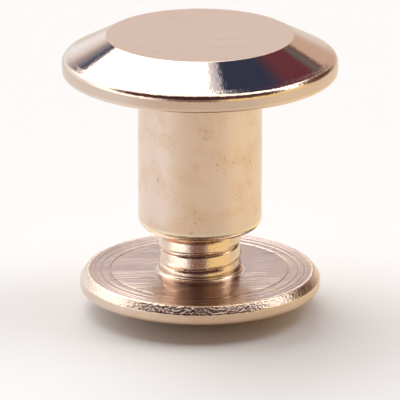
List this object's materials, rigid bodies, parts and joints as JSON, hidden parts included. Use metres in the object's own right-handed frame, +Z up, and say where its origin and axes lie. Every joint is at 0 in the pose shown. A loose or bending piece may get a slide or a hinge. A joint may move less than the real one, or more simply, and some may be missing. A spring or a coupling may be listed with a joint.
{
  "type": "binding barrel screw",
  "caption": "Two-piece binding screw: a flat bevelled head on an internally threaded barrel, closed by a domed slotted screw, clamps stacked leather or paper.",
  "frame": {"origin": "on the common axis of both pieces, at the foot of the domed screw head that the part stands on", "axes": "+Z up the common axis, from the screw's domed head to the barrel's bevelled head; +X along the slot in the dome"},
  "size_m": [0.011, 0.011, 0.0116],
  "materials": {
    "post_plating": "pale rose-gold plating, bright polish, over a brass turning",
    "screw_plating": "pale rose-gold plating, bright on rim and thread, turned rings left on the inner face"
  },
  "bodies": {
    "screw": {"binding_screw": "screw_plating"},
    "post": {"barrel_post": "post_plating"}
  },
  "joints": [
    {"name": "barrel_travel", "type": "slide", "parent": "screw", "child": "post", "axis": [0, 0, 1], "range_m": [-0.0018, 0.0054]}
  ]
}
